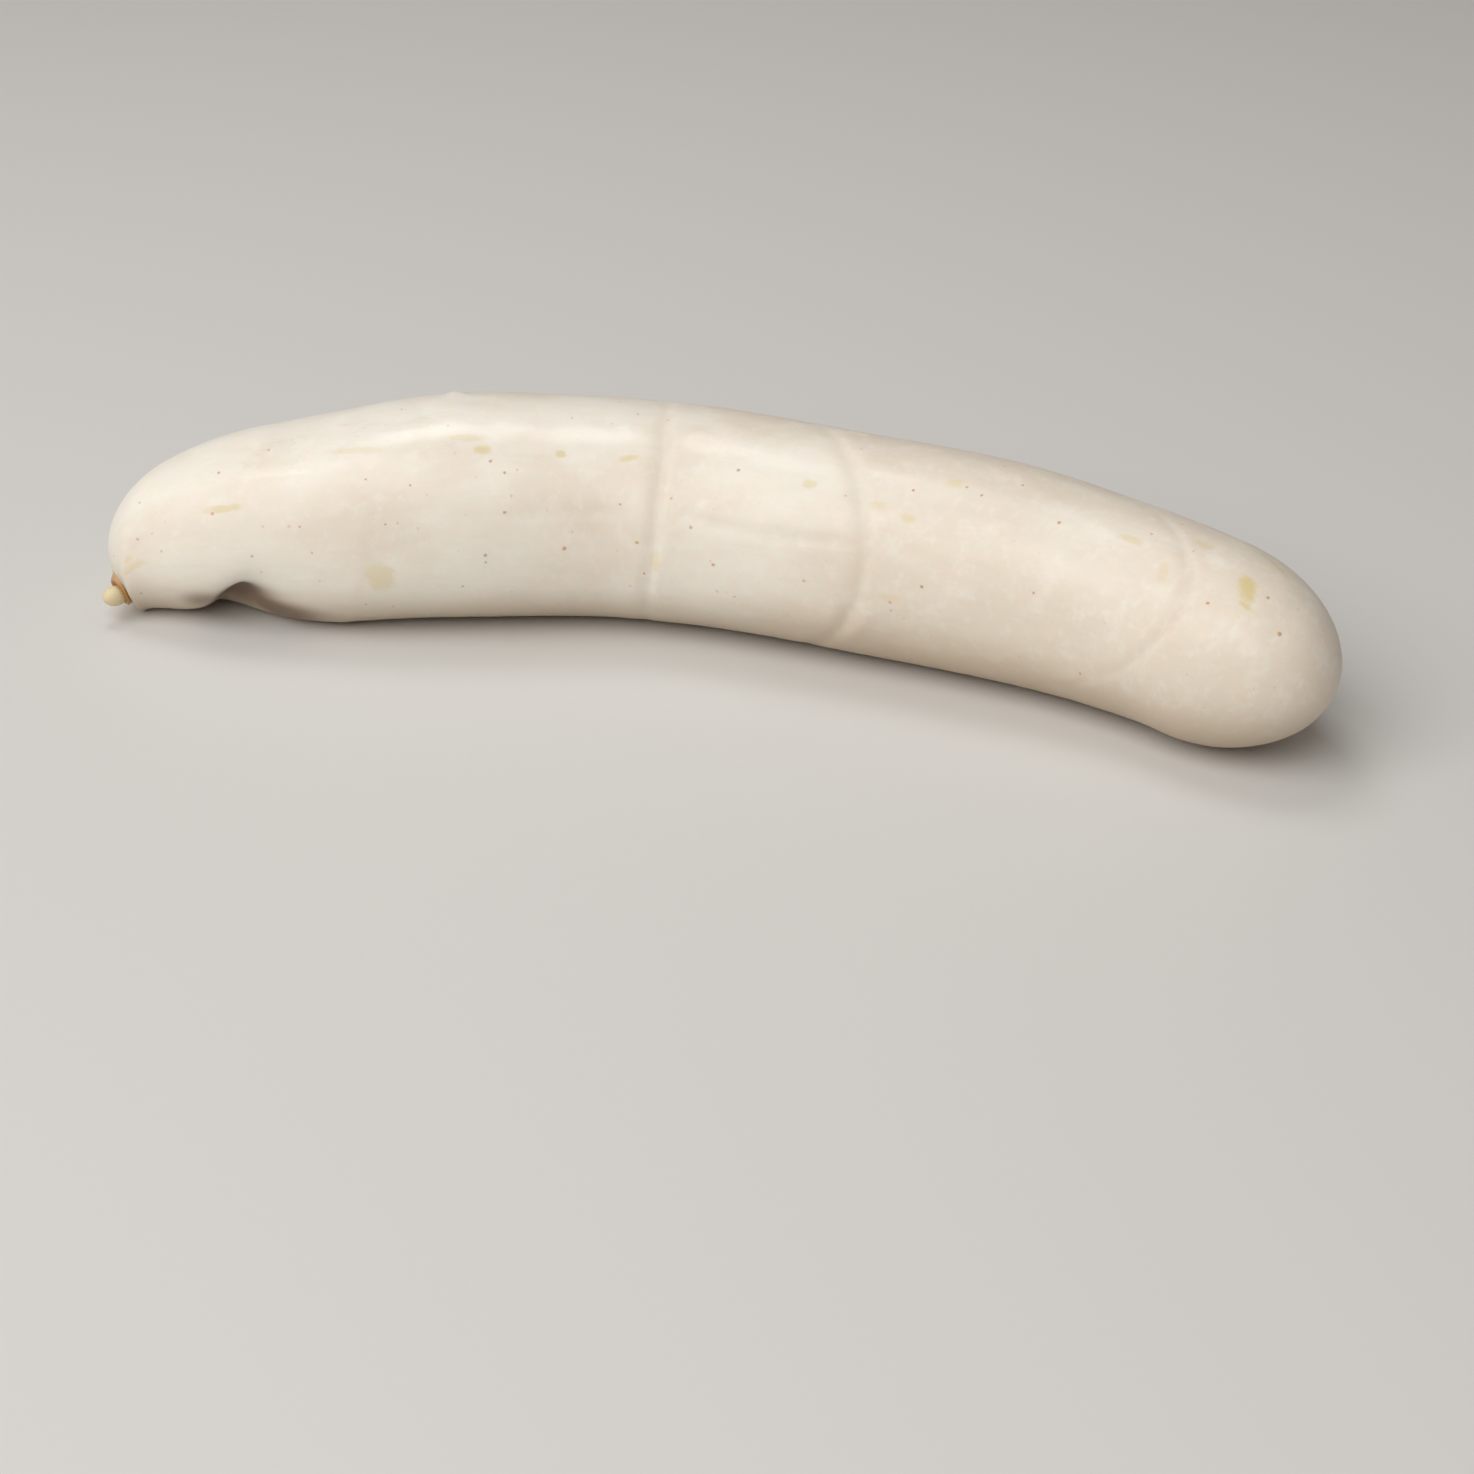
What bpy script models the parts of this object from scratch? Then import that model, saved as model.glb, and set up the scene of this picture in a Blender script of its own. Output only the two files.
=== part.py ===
"""A white sausage in its natural casing, lying with its bow flat on the table.

The skin is one closed body: a UV sphere whose rings are carried along the spine. Its left end sags
to the table and is gathered into a small knot of casing, and its right end is plain and round.
A pinch near the knotted end and three soft creases are relief in the skin. The origin is at the
middle of the underside, +X runs from the knot to the plain end and +Y to the outside of the bow.
Angles round the sausage are in degrees: 0 on the far side, 90 on top, 180 on the near side.
"""
import math

import bmesh
import bpy
import numpy as np

MM = 0.001

# Driving dimensions, in millimetres and degrees
CALIBRE = 33.8
SPINE = 192.7
KNOT_END = 9.1
PLAIN_END = 21.0

# Share of the calibre at each share of the spine
GIRTH = ((0, 0.559), (0.08, 0.793), (0.16, 0.909), (0.26, 1.004), (0.38, 0.995), (0.55, 0.971),
         (0.72, 0.944), (0.86, 0.879), (1, 0.856))
# Direction of the spine, from +X towards +Y, at each share of the spine
BOW = ((0, 5.2), (0.18, 18.3), (0.34, 19.3), (0.5, -0.2), (0.66, -4), (0.82, -16.8), (1, -50))

# The soft sausage is this much flatter where it rests, and rounds into the flat over this height
FLAT = 0.45
FLAT_ROUNDING = 0.3
# The knotted end is blunt. It sags and leans to the near side, and its tip turns that way and down
KNOT_END_POWER = 3.62
SAG = 7.8
LEAN = 3.8
LEAN_POWER = 1.7
TIP_POWER = 3.66
TIP_YAW = 36.6
TIP_PITCH = 42.5
PLAIN_END_LIFT = 1.05

# The knot draws the middle of the tip in, to the near side and up, and turns it that way
DRAW = (3.47, -4.39, 3.62)
DRAW_POWER = 12.0
DRAW_YAW = 13.7
DRAW_PITCH = -24.4
# Knot of casing: a bead just past a collar of pleated casing
BEAD_YAW = 62.6
BEAD_PITCH = -4.4
BEAD_LENGTH = 4.14
BEAD_WIDTH = 3.14
BEAD_TURN = 150.0
BEAD_PLACE = (-0.47, -1.31, -0.39)
# Distance past the end and radius of the collar's rings, from the bead out to the skin
COLLAR = ((-0.06, 1.52), (0.39, 1.83), (0.54, 2.13), (0.29, 2.44))
PLEATS = 11
PLEAT_DEPTH = 0.2
PLEAT_FADE = 1.2

# Pinch on the near underside: a fold that runs up and away from the knot, steep towards it
PINCH_STATION = 20.0
PINCH_SLANT = 0.11
PINCH_ANGLE = 222.0
PINCH_DEPTH = 4.3
PINCH_STEEP = 1.6
PINCH_GENTLE = 2.9
PINCH_ARC_UP = 17.0
PINCH_ARC_DOWN = 26.0
# The filling that it pushes along swells the underside beside it
SWELL_STATION = 32.5
SWELL_ANGLE = 235.0
SWELL_HEIGHT = 0.75
SWELL_LENGTH = 6.0
SWELL_ARC = 28.0

# Creases round the casing: middle station, how far it leans, angle of its furthest point,
# half arc that it covers and depth
CREASES = ((84.1, 4.4, 151, 50, 0.3), (108.5, 14.0, 163, 50, 0.3), (146.8, 29.0, 141, 33, 0.25))
CREASE_LENGTH = 1.2
CREASE_RIDGE = 0.4

# Mesh
SEGMENTS = 48
BEAD_RINGS = 7
KNOT_END_RINGS = 15
BODY_RINGS = 74
PLAIN_END_RINGS = 13
CREASE_DENSITY = 2.5
CREASE_REACH = 4.0
SPINE_STEPS = 2000

SKIN_COLOUR = (0.80, 0.73, 0.62, 1.0)
SKIN_ROUGHNESS = 0.38


def through(stations, x):
    """Smooth curve through (position, value) stations."""
    xs, ys = np.array(stations, float).T
    slopes = np.gradient(ys, xs)
    i = np.clip(np.searchsorted(xs, x) - 1, 0, len(xs) - 2)
    span = xs[i + 1] - xs[i]
    t = np.clip((x - xs[i]) / span, 0, 1)
    start = (1 + 2 * t) * (1 - t) ** 2 * ys[i] + t * (1 - t) ** 2 * span * slopes[i]
    end = t * t * (3 - 2 * t) * ys[i + 1] - t * t * (1 - t) * span * slopes[i + 1]
    return start + end


def bell(x, half_width):
    """Smooth bump, 1 at 0 and fading past half_width."""
    return np.exp(-0.5 * (x / half_width) ** 2)


def fold(x):
    """Bump with a narrow top and wide feet, 1 at 0."""
    return np.exp(1 - np.sqrt(1 + x ** 2))


def arc_from(angle, middle):
    """Signed angle from middle, in degrees."""
    return (angle - middle + 180) % 360 - 180


def pinch(station, angle):
    """Depth of the pinch."""
    along = arc_from(angle, PINCH_ANGLE)
    across = station - PINCH_STATION + PINCH_SLANT * along
    width = np.where(across < 0, PINCH_STEEP, PINCH_GENTLE)
    half_arc = np.where(along < 0, PINCH_ARC_UP, PINCH_ARC_DOWN)
    return PINCH_DEPTH * fold(across / width) * bell(along, half_arc)


def swell(station, angle):
    """Height of the swelling beside the pinch."""
    return (SWELL_HEIGHT * bell(station - SWELL_STATION, SWELL_LENGTH)
            * bell(arc_from(angle, SWELL_ANGLE), SWELL_ARC))


def crease_station(crease, angle):
    """Station at which a leaning crease crosses the given angle."""
    middle, lean, furthest = crease[:3]
    return middle + lean * np.cos(np.radians(angle - furthest))


def creases(station, angle):
    """Height of the creases: each is a valley with a low ridge on the plain end's side."""
    height = 0
    for crease in CREASES:
        furthest, half_arc, depth = crease[2:]
        across = station - crease_station(crease, angle)
        valley = bell(across + CREASE_LENGTH, CREASE_LENGTH)
        ridge = CREASE_RIDGE * bell(across - CREASE_LENGTH, CREASE_LENGTH)
        height += depth * bell(arc_from(angle, furthest), half_arc) * (ridge - valley)
    return height


def pleats(station, angle):
    """Depth of the pleats that gather the casing into the knot."""
    wave = (1 - np.cos(np.radians(PLEATS * angle))) / 2
    return PLEAT_DEPTH * wave * np.exp(-station / PLEAT_FADE)


def relief(station, angle):
    """Height of the skin over its plain round form."""
    height = swell(station, angle) + creases(station, angle)
    return height - pinch(station, angle) - pleats(station, angle)


def spine_at(station):
    """Place and heading of the spine at each station."""
    fine = np.linspace(0, SPINE, SPINE_STEPS)
    heading = np.radians(through(BOW, fine / SPINE))
    step = fine[1]
    x = np.concatenate([[0], np.cumsum(np.cos(heading[:-1]) * step)])
    y = np.concatenate([[0], np.cumsum(np.sin(heading[:-1]) * step)])
    return tuple(np.interp(station, fine, values) for values in (x, y, heading))


def axes(yaw, pitch):
    """Unit vectors along the sausage, across it to the far side, and up."""
    level = 0 * yaw
    forward = np.stack([np.cos(yaw), np.sin(yaw), level], 1)
    across = np.stack([-np.sin(yaw), np.cos(yaw), level], 1)
    above = np.stack([level, level, level + 1], 1)
    rise, run = np.sin(pitch)[:, None], np.cos(pitch)[:, None]
    return forward * run + above * rise, across, above * run - forward * rise


def body_stations():
    """Stations of the body's rings, closer together at the pinch and the creases."""
    fine = np.linspace(KNOT_END, SPINE - PLAIN_END, SPINE_STEPS)
    density = 1 + CREASE_DENSITY * bell(fine - PINCH_STATION, 2 * CREASE_REACH)
    for crease in CREASES:
        density += CREASE_DENSITY * bell(fine - crease_station(crease, crease[2]), CREASE_REACH)
    share = np.cumsum(density)
    share = (share - share[0]) / (share[-1] - share[0])
    return np.interp(np.linspace(0, 1, BODY_RINGS), share, fine)


def skin_stations():
    """Stations of the skin's rings, from the collar to the plain end."""
    collar_angle = math.asin(1.1 * COLLAR[-1][1] / (CALIBRE / 2 * GIRTH[0][1]))
    left = np.cos(np.linspace(collar_angle, math.pi / 2, KNOT_END_RINGS)) ** (2 / KNOT_END_POWER)
    right = np.cos(np.linspace(math.pi / 2, 0, PLAIN_END_RINGS))
    return np.concatenate([KNOT_END * (1 - left), body_stations()[1:-1],
                           SPINE - PLAIN_END * (1 - right)])


def section_frames(station):
    """Centre, radius and axes of the skin's section at each station."""
    x, y, heading = spine_at(station)
    left = np.clip(1 - station / KNOT_END, 0, 1)
    right = np.clip(1 - (SPINE - station) / PLAIN_END, 0, 1)
    full_radius = CALIBRE / 2 * through(GIRTH, station / SPINE)
    radius = full_radius * np.sqrt((1 - left ** KNOT_END_POWER) * (1 - right ** 2))
    tip = left ** TIP_POWER
    height = full_radius - FLAT - SAG * tip + PLAIN_END_LIFT * right ** 2
    lean = LEAN * left ** LEAN_POWER
    centre = np.stack([x + lean * np.sin(heading), y - lean * np.cos(heading), height], 1)
    drawn = left ** DRAW_POWER
    centre += drawn[:, None] * DRAW
    yaw = heading + np.radians(TIP_YAW * tip + DRAW_YAW * drawn)
    return centre, radius, axes(yaw, np.radians(TIP_PITCH * tip + DRAW_PITCH * drawn))


def knot_rings():
    """Centre, radius and axes of the knot's rings, from the tip of the bead out to the collar."""
    tip, _, tip_axes = section_frames(np.zeros(1))
    turn = np.radians(np.linspace(0, BEAD_TURN, BEAD_RINGS))
    past, collar_radius = np.array(COLLAR).T
    bead_axes = axes(np.radians([BEAD_YAW]), np.radians([BEAD_PITCH]))
    both_axes = [np.concatenate([bead] * BEAD_RINGS + [collar] * len(COLLAR))
                 for bead, collar in zip(bead_axes, tip_axes)]
    past = np.concatenate([BEAD_LENGTH / 2 * np.cos(turn), past])
    centre = tip - both_axes[0] * past[:, None]
    centre[:BEAD_RINGS] += BEAD_PLACE
    return centre, np.concatenate([BEAD_WIDTH / 2 * np.sin(turn), collar_radius]), both_axes


def settle(height):
    """Flatten what would be under the table, with a rounded edge."""
    soft = (height + FLAT_ROUNDING) ** 2 / (4 * FLAT_ROUNDING)
    low = np.where(height < -FLAT_ROUNDING, 0, soft)
    return np.where(height > FLAT_ROUNDING, height, low)


def ring_frames():
    """Station, centre, radius, axes and share of the relief of every ring, knot first."""
    station = skin_stations()
    knot, skin = knot_rings(), section_frames(station)
    centre, radius = (np.concatenate([knot[i], skin[i]]) for i in range(2))
    both_axes = [np.concatenate(pair) for pair in zip(knot[2], skin[2])]
    in_skin = np.arange(len(radius)) >= len(knot[1])
    share = np.minimum(1, radius / (CALIBRE / 4)) * in_skin
    station = np.concatenate([0 * knot[1], station])
    return station, centre, radius, both_axes, share


def skin_points(frames, ring, angle):
    """Points of the skin, in millimetres, for each ring number and angle."""
    station, centre, radius, (_, across, up), share = frames
    reach = radius[ring] + share[ring] * relief(station[ring], angle)
    turn = np.radians(angle)
    points = centre[ring] + (reach * np.cos(turn))[:, None] * across[ring]
    points += (reach * np.sin(turn))[:, None] * up[ring]
    points[:, 2] = settle(points[:, 2])
    return points


def skin_mesh(name):
    """UV sphere with its rings carried along the spine, its underside's middle on the origin."""
    frames = ring_frames()
    last = len(frames[0]) - 1
    sphere = bmesh.new()
    bmesh.ops.create_uvsphere(sphere, u_segments=SEGMENTS, v_segments=last, radius=1)
    unit = np.array([vert.co for vert in sphere.verts])
    ring = np.rint(np.arccos(np.clip(-unit[:, 2], -1, 1)) / math.pi * last).astype(int)
    angle = np.degrees(np.arctan2(unit[:, 1], unit[:, 0])) % 360
    points = skin_points(frames, ring, angle)
    middle = (points.min(0) + points.max(0)) / 2
    points -= (middle[0], middle[1], points[:, 2].min())
    for vert, point in zip(sphere.verts, points):
        vert.co = point * MM
    mesh = bpy.data.meshes.new(name)
    sphere.to_mesh(mesh)
    sphere.free()
    mesh.shade_smooth()
    return mesh


def skin_material():
    material = bpy.data.materials.new("casing")
    material.use_nodes = True
    shader = material.node_tree.nodes["Principled BSDF"]
    shader.inputs["Base Color"].default_value = SKIN_COLOUR
    shader.inputs["Roughness"].default_value = SKIN_ROUGHNESS
    shader.inputs["Metallic"].default_value = 0
    return material


def main():
    for old in list(bpy.data.objects):
        bpy.data.objects.remove(old)
    collection = bpy.data.collections.new("white_sausage")
    bpy.context.scene.collection.children.link(collection)
    sausage = bpy.data.objects.new("sausage", skin_mesh("sausage"))
    sausage.data.materials.append(skin_material())
    collection.objects.link(sausage)


main()
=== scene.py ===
"""The white sausage as it looks: fine relief, stains and specks in a moist casing, on a pale floor.

Stations are millimetres along the spine from the knotted end. Angles round the sausage are in
degrees: 0 on the far side, 90 on top, 180 on the near side.
"""
import math

import bpy
import numpy as np
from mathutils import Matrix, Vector, noise


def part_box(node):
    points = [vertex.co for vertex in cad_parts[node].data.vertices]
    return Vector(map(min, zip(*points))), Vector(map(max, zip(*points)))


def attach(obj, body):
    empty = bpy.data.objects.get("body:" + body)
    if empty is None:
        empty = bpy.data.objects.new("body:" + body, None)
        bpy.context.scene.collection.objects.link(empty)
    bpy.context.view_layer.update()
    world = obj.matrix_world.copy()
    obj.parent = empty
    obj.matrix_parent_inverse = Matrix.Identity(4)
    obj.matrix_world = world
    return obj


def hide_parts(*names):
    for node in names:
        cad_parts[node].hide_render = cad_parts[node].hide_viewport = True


MM = 0.001

# Form of the sausage: the same values as its solid
CALIBRE = 33.8
SPINE = 192.7
KNOT_END = 9.1
PLAIN_END = 21.0
GIRTH = ((0, 0.559), (0.08, 0.793), (0.16, 0.909), (0.26, 1.004), (0.38, 0.995), (0.55, 0.971),
         (0.72, 0.944), (0.86, 0.879), (1, 0.856))
BOW = ((0, 5.2), (0.18, 18.3), (0.34, 19.3), (0.5, -0.2), (0.66, -4), (0.82, -16.8), (1, -50))
FLAT = 0.45
FLAT_ROUNDING = 0.3
KNOT_END_POWER = 3.62
SAG = 7.8
LEAN = 3.8
LEAN_POWER = 1.7
TIP_POWER = 3.66
TIP_YAW = 36.6
TIP_PITCH = 42.5
PLAIN_END_LIFT = 1.05
DRAW = (3.47, -4.39, 3.62)
DRAW_POWER = 12.0
DRAW_YAW = 13.7
DRAW_PITCH = -24.4
BEAD_YAW = 62.6
BEAD_PITCH = -4.4
BEAD_LENGTH = 4.14
BEAD_WIDTH = 3.14
BEAD_TURN = 150.0
BEAD_PLACE = (-0.47, -1.31, -0.39)
COLLAR = ((-0.06, 1.52), (0.39, 1.83), (0.54, 2.13), (0.29, 2.44))
PLEATS = 11
PLEAT_DEPTH = 0.2
PLEAT_FADE = 1.2
PINCH_STATION = 20.0
PINCH_SLANT = 0.11
PINCH_ANGLE = 222.0
PINCH_DEPTH = 4.3
PINCH_STEEP = 1.6
PINCH_GENTLE = 2.9
PINCH_ARC_UP = 17.0
PINCH_ARC_DOWN = 26.0
SWELL_STATION = 32.5
SWELL_ANGLE = 235.0
SWELL_HEIGHT = 0.75
SWELL_LENGTH = 6.0
SWELL_ARC = 28.0
CREASES = ((84.1, 4.4, 151, 50, 0.3), (108.5, 14.0, 163, 50, 0.3), (146.8, 29.0, 141, 33, 0.25))
CREASE_LENGTH = 1.2
CREASE_RIDGE = 0.4

# Radius of the skin's first ring, in radii of the collar's edge
SKIN_START = 1.1

# Fine mesh
SEGMENTS = 224
BEAD_RINGS = 16
COLLAR_RINGS = 10
KNOT_END_RINGS = 50
BODY_RINGS = 306
PLAIN_END_RINGS = 50
SPINE_STEPS = 2000

# Millimetres of skin in one degree of arc
ARC = 0.29

# Fine folds of the casing: height, half width and the (station, angle) points that each runs through
FOLDS = (
    (-0.10, 0.7, ((62.7, 160), (71.7, 159), (82, 157))),
    (-0.16, 0.8, ((92.3, 155), (99.4, 157), (114.5, 156), (119.4, 154))),
    (-0.08, 0.8, ((124.4, 152), (134.8, 155), (143, 154))),
    (0.10, 0.6, ((89, 178), (87.4, 200))),
    (0.10, 0.6, ((84.8, 180), (83.4, 199))),
    (-0.14, 0.7, ((121.4, 184), (117, 212))),
    (0.12, 0.6, ((124, 188), (120.4, 207))),
    (0.10, 0.6, ((154.8, 208), (159.3, 196))),
    (0.10, 0.6, ((159.5, 205), (165, 192))),
    (0.12, 0.5, ((28.5, 224), (36, 238))),
    (-0.10, 0.6, ((30.5, 220), (40, 233))),
    (-0.12, 1.2, ((186, 82), (189.5, 120))),
    (0.10, 1.2, ((182.5, 150), (187, 175))),
    (0.45, 0.7, ((52.9, 76), (53.7, 79))),
    (-0.10, 0.9, ((46, 70), (49, 100))),
    (0.10, 0.8, ((39.5, 165), (39, 185), (37.5, 212))),
)
# Sharp edge in the middle of each crease: depth of its valley, height of its ridge and half width
EDGE_VALLEY = 0.15
EDGE_RIDGE = 0.05
EDGE_WIDTH = 0.6
# Slow unevenness of the filling and finer unevenness of the casing: height, length and length round
WAVES = ((0.22, 16.0, 11.0), (0.07, 5.0, 3.6), (0.018, 1.6, 1.1))

# Stains: station, angle, half length, half width in millimetres, turn and strength
STAINS = (
    (181.4, 105, 1.4, 2.5, -35, 1.0),
    (183.2, 114, 1.2, 0.5, -10, 0.8),
    (42.4, 191, 1.9, 2.6, 0, 0.45),
    (57.8, 126, 1.3, 0.7, 0, 0.75),
    (55.5, 119, 3.4, 0.6, 0, 0.35),
    (19.7, 147, 2.9, 0.7, 0, 0.4),
    (21.8, 146, 1.0, 0.5, 0, 0.6),
    (70.0, 128, 0.9, 0.6, 0, 0.7),
    (81.5, 128, 1.5, 0.6, -15, 0.6),
    (111.4, 127, 1.0, 0.7, 0, 0.5),
    (122.4, 132, 1.3, 0.8, 0, 0.4),
    (127.3, 136, 1.2, 0.7, 0, 0.5),
    (132.3, 110, 1.3, 0.9, 0, 0.5),
    (160.9, 112, 1.9, 0.7, 0, 0.45),
    (169.1, 124, 1.6, 0.9, 60, 0.3),
    (170.8, 94, 1.8, 0.8, 0, 0.4),
    (179.0, 71, 2.2, 0.6, 0, 0.5),
    (6.2, 179, 2.6, 1.0, -12, 0.5),
    (5.6, 172, 0.9, 0.8, 0, 0.35),
    (39.0, 121, 4.5, 0.6, 8, 0.3),
    (88.0, 180, 1.5, 1.1, 90, 0.35),
    (126.5, 178, 1.6, 0.6, 0, 0.3),
)
# Ragged edge of the stains, as waves: height, length and length round
STAIN_RAGGED = ((0.3, 1.1, 0.8), (0.3, 3.0, 2.0))
# How square the stains are, and where they and their strength end, in their own sizes
STAIN_POWER = 2.5
STAIN_END = 2.0
STAIN_REACH = 3
# Height of the painted shade on the underside in the two halves, and the stations between which it
# changes
UNDER_SHADE_TOP = (11.0, 16.0)
UNDER_SHADE_CHANGE = (70.0, 130.0)
# Shares of that height at which the painted underside shade begins and is darkest
UNDER_SHADE_EDGE = (1, 0.1)
# How much wider than the pinch its painted shade (a brown tint) is, and the painted shade beside
# it: station, half length, angle, half arc and strength
PINCH_SHADE_SPREAD = 1.8
SHADE_BESIDE_PINCH = ((26.0, 6.0, 228, 13, 1.0), (15.5, 2.8, 215, 11, 0.68))
# Angle at which the collar is darkest, the half arc over which it fades, and its share elsewhere
COLLAR_DARKEST = 165.0
COLLAR_DARK_ARC = 55.0
COLLAR_PLAIN = 0.7
# Rings over which the bead turns into the collar, and rings past the knot where the collar begins
# and is full
BEAD_TO_COLLAR = 3
SKIN_TO_COLLAR = (3, -2)
# The knot's colour on the skin: rings past the knot, length over which it fades, and share
KNOT_PAST = 2
KNOT_FADE = 0.5
KNOT_ON_SKIN = 0.4

# Rust coloured and plum coloured specks of spice: station, angle and radius
RUST = (
    (70.8, 176, 0.42), (98.4, 177, 0.4), (58.3, 180, 0.4), (58.3, 184, 0.28), (81.2, 152, 0.3),
    (31.5, 160, 0.3), (43.7, 162, 0.28), (41.0, 138, 0.32), (54.4, 199, 0.28), (106.0, 183, 0.3),
    (131.6, 168, 0.32), (126.9, 119, 0.3), (61.6, 138, 0.3), (85.8, 188, 0.26), (109.5, 190, 0.24),
    (136.9, 113, 0.3), (149.7, 116, 0.38), (188.5, 106, 0.42), (141.9, 98, 0.28), (150.0, 157, 0.3),
    (159.5, 195, 0.34), (178.9, 126, 0.3), (98.0, 175, 0.26), (162.5, 159, 0.22), (181.3, 170, 0.28),
    (24.8, 176, 0.34),
)
PLUM = (
    (26.2, 110, 0.3), (19.1, 122, 0.32), (33.2, 175, 0.36), (61.3, 158, 0.34),
    (39.8, 212, 0.28), (94.6, 159, 0.36), (59.4, 132, 0.34), (71.7, 103, 0.28), (77.9, 106, 0.22),
    (123.2, 180, 0.3), (134.5, 110, 0.34), (163.2, 102, 0.34), (157.3, 184, 0.28), (148.0, 196, 0.3),
    (163.4, 160, 0.26), (47.3, 143, 0.24), (7.0, 128, 0.3), (7.3, 158, 0.34), (9.5, 156, 0.28),
    (6.8, 206, 0.26), (31.3, 160, 0.24),
)

# Wet film along the upper side: first and last station, middle angle, half arc and strength
WET = ((14, 42, 122, 7, 0.9), (22, 58, 113, 10, 1.0), (40, 84, 116, 7, 0.75), (88, 104, 112, 9, 0.7),
       (100, 116, 117, 5, 0.4), (118, 130, 112, 8, 0.55), (128, 142, 106, 5, 0.4),
       (150, 165, 112, 5, 0.25))
# Where the film fades in and out at its two ends, in millimetres past them
WET_IN = (-1, 4)
WET_OUT = (1, -5)
# Ragged edge of the film, as waves, its share, how far the film reaches and where it is full
WET_RAGGED = ((1.1, 6.0, 1.6), (0.9, 1.8, 0.6))
WET_RAGGED_SHARE = 0.7
WET_REACH = 1.6
WET_EDGE = (0.2, 0.95)

# Noises of the skin: scale per millimetre (along, up and across, or one for all), detail and roughness
BROAD = ((0.035, 0.06, 0.06), 3.0, 0.5)
CLOUDY = ((0.16, 0.22, 0.22), 4.0, 0.6)
MARBLED = ((0.55, 0.45, 0.45), 4.0, 0.6)
FIBRES = ((0.10, 0.9, 0.9), 4.0, 0.6)
COMB = ((3.2, 0.8, 0.8), 3.0, 0.6)
GRAIN = ((0.5, 2.2, 2.2), 4.0, 0.6)
PITS = (1.1, 3.0, 0.55)
# Shift of the blush from one station to another
BLUSH_SHIFT = (20.0, 200.0, -0.12, 0.22)
# Values of each noise between which a colour comes in, and that colour's shares at them
BLUSH_RANGE = (0.35, 0.65)
CLOUD_RANGE = (0.5, 0.75, 0.0, 0.5)
MARBLE_RANGE = (0.48, 0.75, 0.0, 0.38)
FIBRE_RANGE = (0.5, 0.8, 0.0, 0.06)
# Largest shares of the colours that follow the masks; those of the underside, the creases and the pinch
# are painted shade
UNDER_SHADE_SHARE = 0.75
CREASE_SHADE_SHARE = 0.12
STAIN_SHARE = 0.9
PINCH_SHADE_RANGE = (0.2, 0.95, 0.0, 0.92)
# How far the comb tears the edges of the stains, and the values between which a stain comes in
STAIN_TEAR = 0.4
STAIN_RANGE = (0.32, 0.72)
# Wobble of the specks' outlines: noise scale, and reach in metres
WOBBLE_SCALE = 1800.0
WOBBLE = 0.0003
# Radii between which a placed speck comes in
SPECK_EDGE = (1.1, 0.3)
RUST_SHARE = 0.85
PLUM_SHARE = 0.65
# Fine specks strewn through the casing: cell in metres, full and last radius in cells, and scarcity
TINY = (0.0044, 0.03, 0.08, 0.32)
TINY_SHARE = 0.75
FAINT = (0.0030, 0.04, 0.095, 0.2)
FAINT_SHARE = 0.36
# Relief of the grain against the pits, and strength and depth of both in metres
GRAIN_SHARE = 0.6
BUMP_STRENGTH = 0.25
BUMP_DEPTH = 0.00012
# Roughness with the clouds, what the wet film takes off it, and the film's own weight
ROUGHNESS = (0.3, 0.7, 0.42, 0.52)
WET_SMOOTHER = 0.2
FILM_WEIGHT = (0.0, 1.0, 0.06, 0.5)
# Plain values of the casing's surface
CASING = {
    "Coat Roughness": 0.24,
    "IOR": 1.4,
    "Subsurface Weight": 0.45,
    "Subsurface Radius": (1.0, 0.5, 0.3),
    "Subsurface Scale": 0.0022,
}

# Colours, as linear values
CREAM = (0.87, 0.815, 0.72, 1)
BLUSH = (0.80, 0.71, 0.595, 1)
PALE = (0.90, 0.86, 0.775, 1)
STAIN = (0.73, 0.60, 0.30, 1)
RUST_COLOUR = (0.56, 0.27, 0.07, 1)
PLUM_COLOUR = (0.44, 0.21, 0.13, 1)
KNOT_COLOUR = (0.70, 0.61, 0.385, 1)
COLLAR_COLOUR = (0.40, 0.165, 0.015, 1)
# Darker tone of the fibres, and the painted shade in the valleys of the creases
FIBRE_TONE_AND_CREASE_SHADE = (0.50, 0.37, 0.25, 1)
# Painted shade in the pinch and beside it
PINCH_SHADE_COLOUR = (0.17, 0.10, 0.058, 1)
# Painted shade on the underside, darker towards the floor
UNDERSIDE_SHADE = (0.50, 0.38, 0.25, 1)
FLOOR = (0.69, 0.675, 0.65, 1)
STUDIO = (1, 0.935, 0.86, 1)

# Floor, camera and lights, in metres, degrees and watts, but the lens and the sensor in millimetres;
# a light has a place, a size and a power
FLOOR_SIZE = 4.0
FLOOR_ROUGHNESS = 0.6
CAMERA_PLACE = (0.12353, -0.35293, 0.19898)
CAMERA_TURN = (60.0, 0.0, 18.785)
CAMERA_LENS = 67.98
CAMERA_SENSOR = 36.0
CAMERA_NEAR = 0.01
KEY = ((-0.26, -0.68, 0.80), (1.2, 0.9), 10.4)
OVERHEAD = ((-0.21, 0.17, 0.75), (0.30, 0.32), 1.2)
LIGHT_AIM = (0, 0, 0.015)
STUDIO_STRENGTH = 0.2


def through(stations, x):
    """Smooth curve through (position, value) stations."""
    xs, ys = np.array(stations, float).T
    slopes = np.gradient(ys, xs)
    i = np.clip(np.searchsorted(xs, x) - 1, 0, len(xs) - 2)
    span = xs[i + 1] - xs[i]
    t = np.clip((x - xs[i]) / span, 0, 1)
    start = (1 + 2 * t) * (1 - t) ** 2 * ys[i] + t * (1 - t) ** 2 * span * slopes[i]
    end = t * t * (3 - 2 * t) * ys[i + 1] - t * t * (1 - t) * span * slopes[i + 1]
    return start + end


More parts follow.
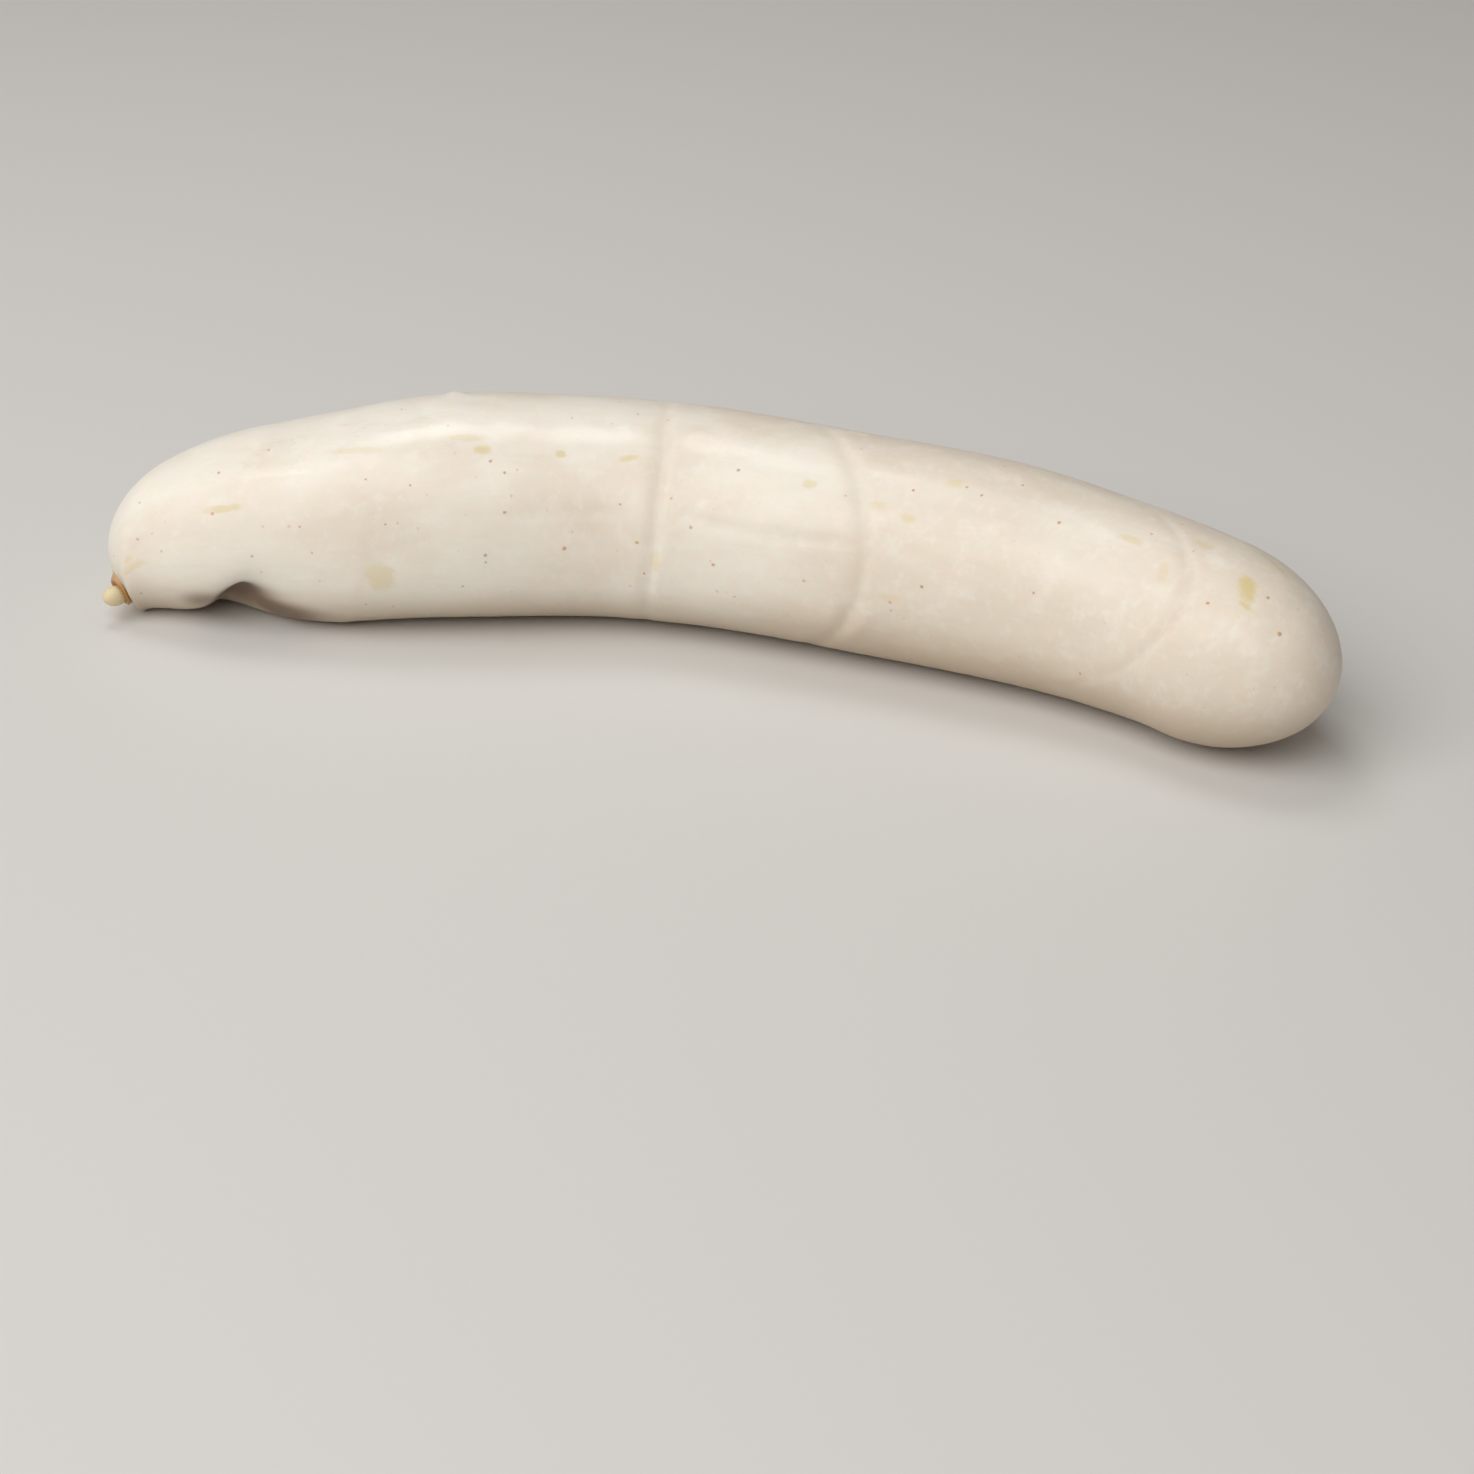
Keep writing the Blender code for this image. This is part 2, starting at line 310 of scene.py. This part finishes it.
def bell(x, half_width):
    """Smooth bump, 1 at 0 and fading past half_width."""
    return np.exp(-0.5 * (x / half_width) ** 2)


def fold(x):
    """Bump with a narrow top and wide feet, 1 at 0."""
    return np.exp(1 - np.sqrt(1 + x ** 2))


def smooth_step(x, low, high):
    """0 at low, 1 at high and smooth between them."""
    t = np.clip((x - low) / (high - low), 0, 1)
    return t * t * (3 - 2 * t)


def arc_from(angle, middle):
    """Signed angle from middle, in degrees."""
    return (angle - middle + 180) % 360 - 180


def pinch_shape(station, angle, spread=1.0):
    """The pinch from 0 to 1, with its sides spread this much wider."""
    along = arc_from(angle, PINCH_ANGLE)
    across = station - PINCH_STATION + PINCH_SLANT * along
    width = np.where(across < 0, PINCH_STEEP, PINCH_GENTLE)
    half_arc = np.where(along < 0, PINCH_ARC_UP, PINCH_ARC_DOWN)
    return fold(across / width / spread) * bell(along, half_arc)


def swell(station, angle):
    """Height of the swelling beside the pinch."""
    return (SWELL_HEIGHT * bell(station - SWELL_STATION, SWELL_LENGTH)
            * bell(arc_from(angle, SWELL_ANGLE), SWELL_ARC))


def past_crease(station, angle, middle, lean, furthest):
    """Distance past the middle of a crease that leans round the sausage."""
    return station - middle - lean * np.cos(np.radians(angle - furthest))


def creases(station, angle):
    """Height of the creases: each is a valley with a low ridge on the plain end's side."""
    height = 0
    for middle, lean, furthest, half_arc, depth in CREASES:
        across = past_crease(station, angle, middle, lean, furthest)
        valley = bell(across + CREASE_LENGTH, CREASE_LENGTH)
        ridge = CREASE_RIDGE * bell(across - CREASE_LENGTH, CREASE_LENGTH)
        height += depth * bell(arc_from(angle, furthest), half_arc) * (ridge - valley)
    return height


def pleats(station, angle):
    """Depth of the pleats that gather the casing into the knot."""
    wave = (1 - np.cos(np.radians(PLEATS * angle))) / 2
    return PLEAT_DEPTH * wave * np.exp(-station / PLEAT_FADE)


def plain_relief(station, angle):
    """Height of the skin over its plain round form, as in the solid."""
    height = swell(station, angle) + creases(station, angle)
    return height - PINCH_DEPTH * pinch_shape(station, angle) - pleats(station, angle)


def line_distance(station, angle, points):
    """Distance over the skin from a line through (station, angle) points."""
    nearest = np.full(station.shape, np.inf)
    for (s0, a0), (s1, a1) in zip(points, points[1:]):
        run, turn = s1 - s0, (a1 - a0) * ARC
        along, round_ = station - s0, (angle - a0) * ARC
        t = np.clip((along * run + round_ * turn) / (run ** 2 + turn ** 2), 0, 1)
        nearest = np.minimum(nearest, np.hypot(along - t * run, round_ - t * turn))
    return nearest


def waves(straight, height, length, round_length):
    """Smooth unevenness over the skin."""
    scale = np.array([1 / length, 1 / round_length, 1 / round_length])
    return height * np.array([noise.noise(Vector(point)) for point in straight * scale])


def fine_relief(station, angle, straight):
    """Height of the folds and the unevenness that the solid leaves out."""
    height = 0
    for rise, half_width, points in FOLDS:
        height += rise * bell(line_distance(station, angle, points), half_width)
    for middle, lean, furthest, half_arc, _ in CREASES:
        across = past_crease(station, angle, middle, lean, furthest)
        edge = EDGE_RIDGE * bell(across - EDGE_WIDTH, EDGE_WIDTH)
        edge -= EDGE_VALLEY * bell(across + EDGE_WIDTH, EDGE_WIDTH)
        height += edge * bell(arc_from(angle, furthest), half_arc)
    for wave in WAVES:
        height += waves(straight, *wave)
    return height


def spine_at(station):
    """Place and heading of the spine at each station."""
    fine = np.linspace(0, SPINE, SPINE_STEPS)
    heading = np.radians(through(BOW, fine / SPINE))
    step = fine[1]
    x = np.concatenate([[0], np.cumsum(np.cos(heading[:-1]) * step)])
    y = np.concatenate([[0], np.cumsum(np.sin(heading[:-1]) * step)])
    return tuple(np.interp(station, fine, values) for values in (x, y, heading))


def axes(yaw, pitch):
    """Unit vectors along the sausage, across it to the far side, and up."""
    level = 0 * yaw
    forward = np.stack([np.cos(yaw), np.sin(yaw), level], 1)
    across = np.stack([-np.sin(yaw), np.cos(yaw), level], 1)
    above = np.stack([level, level, level + 1], 1)
    rise, run = np.sin(pitch)[:, None], np.cos(pitch)[:, None]
    return forward * run + above * rise, across, above * run - forward * rise


def skin_stations():
    """Stations of the skin's rings, from the collar to the plain end."""
    collar_angle = math.asin(SKIN_START * COLLAR[-1][1] / (CALIBRE / 2 * GIRTH[0][1]))
    left = np.cos(np.linspace(collar_angle, math.pi / 2, KNOT_END_RINGS)) ** (2 / KNOT_END_POWER)
    right = np.cos(np.linspace(math.pi / 2, 0, PLAIN_END_RINGS))
    body = np.linspace(KNOT_END, SPINE - PLAIN_END, BODY_RINGS)
    return np.concatenate([KNOT_END * (1 - left), body[1:-1], SPINE - PLAIN_END * (1 - right)])


def section_frames(station):
    """Centre, radius and axes of the skin's section at each station."""
    x, y, heading = spine_at(station)
    left = np.clip(1 - station / KNOT_END, 0, 1)
    right = np.clip(1 - (SPINE - station) / PLAIN_END, 0, 1)
    full_radius = CALIBRE / 2 * through(GIRTH, station / SPINE)
    radius = full_radius * np.sqrt((1 - left ** KNOT_END_POWER) * (1 - right ** 2))
    tip = left ** TIP_POWER
    height = full_radius - FLAT - SAG * tip + PLAIN_END_LIFT * right ** 2
    lean = LEAN * left ** LEAN_POWER
    centre = np.stack([x + lean * np.sin(heading), y - lean * np.cos(heading), height], 1)
    drawn = left ** DRAW_POWER
    centre += drawn[:, None] * DRAW
    yaw = heading + np.radians(TIP_YAW * tip + DRAW_YAW * drawn)
    return centre, radius, axes(yaw, np.radians(TIP_PITCH * tip + DRAW_PITCH * drawn))


def knot_rings():
    """Centre, radius and axes of the knot's rings, from the tip of the bead out to the collar."""
    tip, _, tip_axes = section_frames(np.zeros(1))
    turn = np.radians(np.linspace(0, BEAD_TURN, BEAD_RINGS))
    at = np.linspace(0, len(COLLAR) - 1, COLLAR_RINGS)
    past, collar_radius = (through(tuple(enumerate(column)), at) for column in zip(*COLLAR))
    bead_axes = axes(np.radians([BEAD_YAW]), np.radians([BEAD_PITCH]))
    both_axes = [np.concatenate([bead] * BEAD_RINGS + [collar] * COLLAR_RINGS)
                 for bead, collar in zip(bead_axes, tip_axes)]
    past = np.concatenate([BEAD_LENGTH / 2 * np.cos(turn), past])
    centre = tip - both_axes[0] * past[:, None]
    centre[:BEAD_RINGS] += BEAD_PLACE
    return centre, np.concatenate([BEAD_WIDTH / 2 * np.sin(turn), collar_radius]), both_axes


def settle(height):
    """Flatten what would be under the table, with a rounded edge."""
    soft = (height + FLAT_ROUNDING) ** 2 / (4 * FLAT_ROUNDING)
    low = np.where(height < -FLAT_ROUNDING, 0, soft)
    return np.where(height > FLAT_ROUNDING, height, low)


class Skin:
    """Rings of the skin, knot first, with the points on them."""

    def __init__(self):
        station = skin_stations()
        knot, skin = knot_rings(), section_frames(station)
        self.knot_count = len(knot[1])
        self.centre, self.radius = (np.concatenate([knot[i], skin[i]]) for i in range(2))
        _, self.across, self.up = (np.concatenate(pair) for pair in zip(knot[2], skin[2]))
        self.station = np.concatenate([0 * knot[1], station])
        on_skin = np.arange(len(self.radius)) >= self.knot_count
        # The relief fades where the skin is drawn in to less than half its full radius
        self.share = np.minimum(1, self.radius / (CALIBRE / 4)) * on_skin

    def points(self, ring, angle, relief):
        """Places of the points at these ring numbers and angles, in millimetres."""
        turn = np.radians(angle)
        reach = self.radius[ring] + self.share[ring] * relief
        points = self.centre[ring] + (reach * np.cos(turn))[:, None] * self.across[ring]
        points += (reach * np.sin(turn))[:, None] * self.up[ring]
        points[:, 2] = settle(points[:, 2])
        return points


def grid(rings):
    """Ring number and angle of every point: the first pole, the rings and the last pole."""
    inner = np.arange(1, rings - 1)
    ring = np.concatenate([[0], np.repeat(inner, SEGMENTS), [rings - 1]])
    around = np.tile(np.arange(SEGMENTS) * 360 / SEGMENTS, len(inner))
    return ring, np.concatenate([[0], around, [0]])


def grid_faces(rings):
    """Faces between the rings, and fans at the poles."""
    near = np.arange(SEGMENTS)
    after = (near + 1) % SEGMENTS
    last = (rings - 2) * SEGMENTS + 1
    faces = [(0, int(b) + 1, int(a) + 1) for a, b in zip(near, after)]
    for row in range(rings - 3):
        start = row * SEGMENTS + 1
        quads = np.stack([near, after, after + SEGMENTS, near + SEGMENTS], 1) + start
        faces += quads.tolist()
    start = (rings - 3) * SEGMENTS + 1
    faces += [(start + int(a), start + int(b), last) for a, b in zip(near, after)]
    return faces


def stain_mask(station, angle, straight):
    """Strength of the stains at each point, with ragged edges."""
    ragged = sum(waves(straight, *wave) for wave in STAIN_RAGGED)
    mask, strengths = np.zeros(station.shape), np.zeros(station.shape)
    for s, a, half_length, half_width, turn, strength in STAINS:
        along, round_ = station - s, (angle - a) * ARC
        cosine, sine = math.cos(math.radians(turn)), math.sin(math.radians(turn))
        u = (along * cosine + round_ * sine) / half_length
        v = (round_ * cosine - along * sine) / half_width
        size = (np.abs(u) ** STAIN_POWER + np.abs(v) ** STAIN_POWER) ** (1 / STAIN_POWER)
        mask = np.maximum(mask, np.clip((STAIN_END - size - ragged) / STAIN_END, 0, 1))
        strengths = np.where(size < STAIN_REACH, strength, strengths)
    return mask, strengths


def wet_mask(station, angle, straight):
    """Share of the wet film at each point, with ragged edges."""
    ragged = sum(waves(straight, *wave) for wave in WET_RAGGED)
    mask = np.zeros(station.shape)
    for first, last, middle, half_arc, strength in WET:
        ends = smooth_step(station - first, *WET_IN) * smooth_step(station - last, *WET_OUT)
        across = np.abs(angle - middle) / half_arc
        film = smooth_step(ends * WET_REACH - across + ragged * WET_RAGGED_SHARE, *WET_EDGE)
        mask = np.maximum(mask, strength * film)
    return mask


def pinch_painted_shade(station, angle):
    """Share of the painted shade, a brown tint, in the pinch and beside it."""
    tint = pinch_shape(station, angle, PINCH_SHADE_SPREAD)
    for middle, half_length, round_, half_arc, strength in SHADE_BESIDE_PINCH:
        beside = bell(station - middle, half_length) * bell(arc_from(angle, round_), half_arc)
        tint = np.maximum(tint, strength * beside)
    return tint


def crease_painted_shade(station, angle):
    """Share of the painted shade in the valleys of the creases."""
    mask = np.zeros(station.shape)
    for middle, lean, furthest, half_arc, _ in CREASES:
        across = past_crease(station, angle, middle, lean, furthest)
        valley = bell(across + CREASE_LENGTH, CREASE_LENGTH) * bell(arc_from(angle, furthest), half_arc)
        mask = np.maximum(mask, valley)
    return mask


def underside_painted_shade(station, height):
    """Share of the painted shade on the underside, taller in the half with the plain end."""
    top = UNDER_SHADE_TOP[0] + (UNDER_SHADE_TOP[1] - UNDER_SHADE_TOP[0]) * smooth_step(station, *UNDER_SHADE_CHANGE)
    return smooth_step(height / top, *UNDER_SHADE_EDGE)


def near_knot(ring, station, angle, skin):
    """Share of the knot's colour and of the dark collar round its bead, at each point."""
    past_knot = ring - skin.knot_count
    bead = smooth_step(ring, skin.knot_count + KNOT_PAST, BEAD_RINGS)
    casing = np.exp(-station / KNOT_FADE) * (past_knot >= 0)
    collar = smooth_step(ring, BEAD_RINGS - BEAD_TO_COLLAR, BEAD_RINGS)
    collar *= smooth_step(past_knot, *SKIN_TO_COLLAR)
    darker = bell(arc_from(angle, COLLAR_DARKEST), COLLAR_DARK_ARC)
    collar *= COLLAR_PLAIN + (1 - COLLAR_PLAIN) * darker
    return np.maximum(bead, KNOT_ON_SKIN * casing), collar


def add_attribute(mesh, name, values):
    """Give the mesh's points a value or a vector each, under this name."""
    kind = "FLOAT_VECTOR" if values.ndim == 2 else "FLOAT"
    attribute = mesh.attributes.new(name, kind, "POINT")
    attribute.data.foreach_set("vector" if values.ndim == 2 else "value", values.ravel())


def make_sausage():
    """The skin as one fine mesh, in place of the solid, with its masks as attributes."""
    skin = Skin()
    rings = len(skin.radius)
    ring, angle = grid(rings)
    station = skin.station[ring]
    turn = np.radians(angle)
    radius = skin.radius[ring]
    straight = np.stack([station, radius * np.cos(turn), radius * np.sin(turn)], 1)
    plain = plain_relief(station, angle)
    solid = skin.points(ring, angle, plain)
    fine = skin.points(ring, angle, plain + fine_relief(station, angle, straight))
    low, high = (np.array(corner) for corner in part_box("sausage"))
    shift = (low + high) / 2 / MM - (solid.min(0) + solid.max(0)) / 2
    shift[2] = low[2] / MM - solid[:, 2].min()
    points = np.clip((fine + shift) * MM, low, high)
    mesh = bpy.data.meshes.new("sausage_skin")
    mesh.from_pydata(points.tolist(), [], grid_faces(rings))
    mesh.shade_smooth()
    on_skin = ring >= skin.knot_count
    knot, collar = near_knot(ring, station, angle, skin)
    stain, strength = stain_mask(station, angle, straight)
    masks = {
        "straight": straight,
        "stain": stain,
        "stain_strength": strength,
        # Painted shade on the underside, darker towards the floor
        "under": underside_painted_shade(station, fine[:, 2]),
        "wet": wet_mask(station, angle, straight) * on_skin,
        "knot": knot,
        "collar": collar,
        # Painted shade in the pinch and beside it
        "pinch": pinch_painted_shade(station, angle) * on_skin,
        # Painted shade in the valleys of the creases
        "crease": crease_painted_shade(station, angle) * on_skin,
    }
    for name, values in masks.items():
        add_attribute(mesh, name, values)
    piece = bpy.data.objects.new("sausage_skin", mesh)
    bpy.context.scene.collection.objects.link(piece)
    return piece, lambda s, a: place_of(skin, shift, s, a)


def place_of(skin, shift, station, angle):
    """Place of one point of the skin, in metres."""
    ring = np.array([skin.knot_count + np.abs(skin.station[skin.knot_count:] - station).argmin()])
    angle = np.array([float(angle)])
    point = skin.points(ring, angle, plain_relief(skin.station[ring], angle))[0]
    return tuple((point + shift) * MM)


class Shader:
    """Short calls for building a material's nodes."""

    def __init__(self, name):
        self.material = bpy.data.materials.new(name)
        self.material.use_nodes = True
        self.tree = self.material.node_tree
        self.surface = self.tree.nodes["Principled BSDF"]

    def node(self, kind, values=(), **settings):
        made = self.tree.nodes.new("ShaderNode" + kind)
        for key, value in settings.items():
            setattr(made, key, value)
        for socket, value in dict(values).items():
            self.put(made.inputs[socket], value)
        return made

    def put(self, socket, value):
        """Link an output to a socket, or set the socket."""
        if isinstance(value, bpy.types.NodeSocket):
            self.tree.links.new(value, socket)
        else:
            socket.default_value = value

    def attribute(self, name, output="Fac"):
        return self.node("Attribute", attribute_name=name).outputs[output]

    def math(self, operation, a, b):
        return self.node("Math", {0: a, 1: b}, operation=operation).outputs[0]

    def noise(self, vector, scale, detail, roughness):
        values = {"Vector": vector, "Scale": scale, "Detail": detail, "Roughness": roughness}
        return self.node("TexNoise", values).outputs[0]

    def stretched_noise(self, vector, stretch, detail, roughness):
        """Noise with its own scale in each direction."""
        values = {0: vector, 1: stretch}
        scaled = self.node("VectorMath", values, operation="MULTIPLY").outputs[0]
        return self.noise(scaled, 1.0, detail, roughness)

    def ramp(self, value, low, high, to_low=0.0, to_high=1.0):
        values = {0: value, 1: low, 2: high, 3: to_low, 4: to_high}
        return self.node("MapRange", values, interpolation_type="SMOOTHSTEP").outputs[0]

    def tint(self, colour, share, tint, most=None):
        """The colour with this share of the tint over it, or this share times most."""
        if most is not None:
            share = self.math("MULTIPLY", share, most)
        return self.mix(share, colour, tint)

    def mix(self, share, first, second):
        made = self.tree.nodes.new("ShaderNodeMix")
        made.data_type = "RGBA"
        for socket, value in ((0, share), (6, first), (7, second)):
            self.put(made.inputs[socket], value)
        return made.outputs[2]


def specks(shader, position, places, radii):
    """Share of the specks at these places."""
    total = None
    for place, radius in zip(places, radii):
        values = {0: position, 1: place}
        distance = shader.node("VectorMath", values, operation="DISTANCE").outputs["Value"]
        speck = shader.ramp(distance, *(radius * MM * edge for edge in SPECK_EDGE))
        total = speck if total is None else shader.math("MAXIMUM", total, speck)
    return total


def strewn(shader, position, cell, full, last, scarce):
    """Share of small specks, one in each cell that isn't left out, fading from full to last radius."""
    made = shader.node("TexVoronoi", {"Vector": position, "Scale": 1 / cell})
    kept = shader.node("SeparateColor", {0: made.outputs["Color"]}).outputs[0]
    spot = shader.ramp(made.outputs["Distance"], last, full)
    return shader.math("MULTIPLY", spot, shader.ramp(kept, scarce, 1.0))


def filling_colour(shader, straight, cloudy):
    """Pale filling under the casing, with painted shade on its underside and in its creases."""
    broad = shader.stretched_noise(straight, *BROAD)
    station = shader.node("SeparateXYZ", {0: straight}).outputs[0]
    blush = shader.math("ADD", broad, shader.ramp(station, *BLUSH_SHIFT))
    colour = shader.mix(shader.ramp(blush, *BLUSH_RANGE), CREAM, BLUSH)
    colour = shader.tint(colour, shader.ramp(cloudy, *CLOUD_RANGE), PALE)
    marbled = shader.stretched_noise(straight, *MARBLED)
    colour = shader.tint(colour, shader.ramp(marbled, *MARBLE_RANGE), PALE)
    fibres = shader.stretched_noise(straight, *FIBRES)
    colour = shader.tint(colour, shader.ramp(fibres, *FIBRE_RANGE), FIBRE_TONE_AND_CREASE_SHADE)
    # Painted shade on the underside and in the valleys of the creases
    colour = shader.tint(colour, shader.attribute("under"), UNDERSIDE_SHADE, UNDER_SHADE_SHARE)
    return shader.tint(colour, shader.attribute("crease"), FIBRE_TONE_AND_CREASE_SHADE, CREASE_SHADE_SHARE)


def stained(shader, colour, straight):
    """The colour with the stains over it, their edges torn along the casing."""
    comb = shader.stretched_noise(straight, *COMB)
    torn = shader.math("MULTIPLY", shader.math("SUBTRACT", comb, 0.5), STAIN_TEAR)
    stain = shader.ramp(shader.math("ADD", shader.attribute("stain"), torn), *STAIN_RANGE)
    stain = shader.math("MULTIPLY", stain, shader.attribute("stain_strength"))
    return shader.tint(colour, stain, STAIN, STAIN_SHARE)


def speckled(shader, colour, place):
    """The colour with the strewn specks and the placed specks over it."""
    still = shader.node("TexCoord").outputs["Object"]
    wobble = shader.node("TexNoise", {"Vector": still, "Scale": WOBBLE_SCALE, "Detail": 1.0}).outputs[1]
    values = {0: wobble, 1: (WOBBLE,) * 3, 2: still}
    position = shader.node("VectorMath", values, operation="MULTIPLY_ADD").outputs[0]
    colour = shader.tint(colour, strewn(shader, position, *TINY), RUST_COLOUR, TINY_SHARE)
    colour = shader.tint(colour, strewn(shader, position, *FAINT), PLUM_COLOUR, FAINT_SHARE)
    for kind, speck_colour, most in ((RUST, RUST_COLOUR, RUST_SHARE), (PLUM, PLUM_COLOUR, PLUM_SHARE)):
        places = [place(station, angle) for station, angle, _ in kind]
        share = specks(shader, position, places, [radius for _, _, radius in kind])
        colour = shader.tint(colour, share, speck_colour, most)
    return colour


def casing_relief(shader, straight):
    """Normal of the fine pits and grain of the casing."""
    pits = shader.noise(straight, *PITS)
    grain = shader.stretched_noise(straight, *GRAIN)
    height = shader.math("ADD", pits, shader.math("MULTIPLY", grain, GRAIN_SHARE))
    values = {"Strength": BUMP_STRENGTH, "Distance": BUMP_DEPTH, "Height": height}
    return shader.node("Bump", values).outputs[0]


def skin_material(place):
    """Moist, slightly translucent casing over pale filling."""
    shader = Shader("casing_look")
    straight = shader.attribute("straight", "Vector")
    cloudy = shader.stretched_noise(straight, *CLOUDY)
    colour = filling_colour(shader, straight, cloudy)
    colour = stained(shader, colour, straight)
    colour = speckled(shader, colour, place)
    # Painted shade: dark brown in the pinch and beside it
    colour = shader.tint(colour, shader.ramp(shader.attribute("pinch"), *PINCH_SHADE_RANGE), PINCH_SHADE_COLOUR)
    colour = shader.tint(colour, shader.attribute("knot"), KNOT_COLOUR)
    colour = shader.tint(colour, shader.attribute("collar"), COLLAR_COLOUR)

    wet = shader.attribute("wet")
    smoother = shader.math("MULTIPLY", wet, WET_SMOOTHER)
    roughness = shader.math("SUBTRACT", shader.ramp(cloudy, *ROUGHNESS), smoother)
    surface = shader.surface
    shader.put(surface.inputs["Base Color"], colour)
    shader.put(surface.inputs["Roughness"], roughness)
    shader.put(surface.inputs["Normal"], casing_relief(shader, straight))
    shader.put(surface.inputs["Coat Weight"], shader.ramp(wet, *FILM_WEIGHT))
    for name, value in CASING.items():
        surface.inputs[name].default_value = value
    return shader.material


def floor_material():
    """Plain pale floor."""
    shader = Shader("pale_floor")
    shader.surface.inputs["Base Color"].default_value = FLOOR
    shader.surface.inputs["Roughness"].default_value = FLOOR_ROUGHNESS
    return shader.material


def make_floor():
    """A large flat square that the sausage lies on."""
    half = FLOOR_SIZE / 2
    mesh = bpy.data.meshes.new("floor")
    corners = [(-half, -half, 0), (half, -half, 0), (half, half, 0), (-half, half, 0)]
    mesh.from_pydata(corners, [], [(0, 1, 2, 3)])
    floor = bpy.data.objects.new("floor", mesh)
    floor.data.materials.append(floor_material())
    bpy.context.scene.collection.objects.link(floor)


def make_camera():
    """The camera, where the photograph was taken from."""
    camera = bpy.data.objects.new("camera", bpy.data.cameras.new("camera"))
    camera.data.lens = CAMERA_LENS
    camera.data.sensor_width = CAMERA_SENSOR
    camera.data.clip_start = CAMERA_NEAR
    camera.location = CAMERA_PLACE
    camera.rotation_euler = [math.radians(turn) for turn in CAMERA_TURN]
    bpy.context.scene.collection.objects.link(camera)
    bpy.context.scene.camera = camera


def make_light(name, place, size, power):
    """A soft rectangular light that faces the sausage."""
    light = bpy.data.lights.new(name, "AREA")
    light.shape = "RECTANGLE"
    light.size, light.size_y = size
    light.energy = power
    lamp = bpy.data.objects.new(name, light)
    lamp.location = place
    lamp.rotation_euler = (Vector(LIGHT_AIM) - Vector(place)).to_track_quat("-Z", "Y").to_euler()
    bpy.context.scene.collection.objects.link(lamp)


def make_lights():
    """The large key light, the light overhead and the dim studio round them."""
    make_light("key", *KEY)
    make_light("overhead", *OVERHEAD)
    world = bpy.data.worlds.new("studio")
    world.use_nodes = True
    background = world.node_tree.nodes["Background"]
    background.inputs["Color"].default_value = STUDIO
    background.inputs["Strength"].default_value = STUDIO_STRENGTH
    bpy.context.scene.world = world


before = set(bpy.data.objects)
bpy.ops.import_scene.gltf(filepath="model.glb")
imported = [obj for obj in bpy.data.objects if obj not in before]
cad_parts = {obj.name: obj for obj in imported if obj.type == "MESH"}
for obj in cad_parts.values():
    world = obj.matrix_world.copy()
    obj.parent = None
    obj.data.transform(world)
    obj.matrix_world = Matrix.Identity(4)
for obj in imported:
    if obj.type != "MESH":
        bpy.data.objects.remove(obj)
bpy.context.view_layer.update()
sausage, place = make_sausage()
sausage.data.materials.append(skin_material(place))
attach(sausage, "root")
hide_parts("sausage")
make_floor()
make_camera()
make_lights()
bpy.context.scene.view_settings.view_transform = "Standard"
